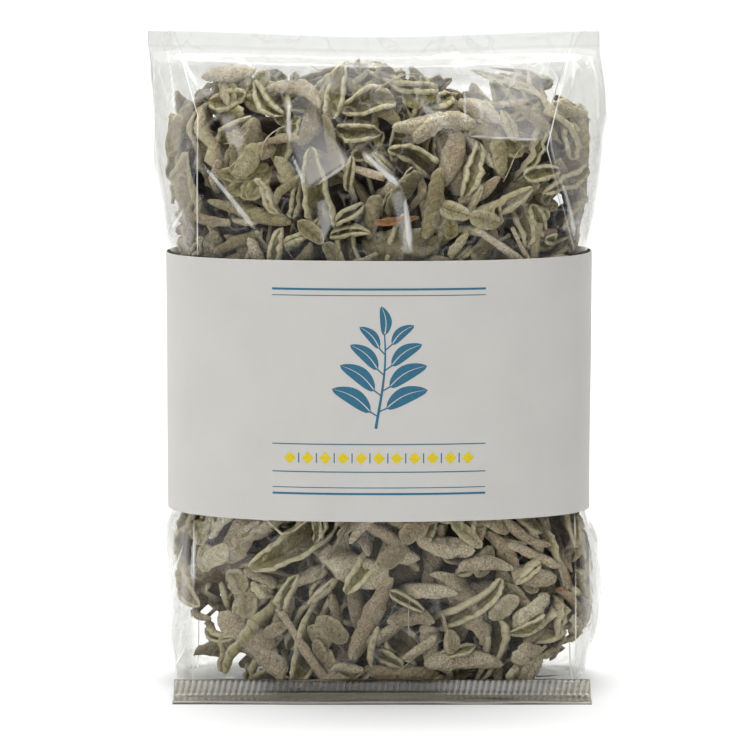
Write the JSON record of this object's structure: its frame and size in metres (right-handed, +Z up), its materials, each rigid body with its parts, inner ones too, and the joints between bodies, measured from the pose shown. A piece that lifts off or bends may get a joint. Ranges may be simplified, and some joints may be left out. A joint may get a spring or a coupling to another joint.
{
  "type": "bag of dried sage leaves",
  "caption": "Upright clear side-gusset film bag packed with loose dried grey-green sage leaves, with a plain paper sleeve round its middle.",
  "frame": {"origin": "on the floor, under the middle of the whole part, with the seal flap at the foot of the front included", "axes": "+Z up towards the mouth, +X to the right across the bag's width, front panel and seal flap towards -Y"},
  "size_m": [0.1188, 0.0562, 0.171],
  "materials": {
    "clear_film": "thin clear glossy film, softly creased",
    "sleeve_paper": "matt uncoated off-white paper",
    "dried_sage": "dry, felted and pebbled grey-green leaf"
  },
  "bodies": {
    "root": {"bag_film": "clear_film", "paper_sleeve": "sleeve_paper", "sage_leaves": "dried_sage"}
  },
  "joints": []
}
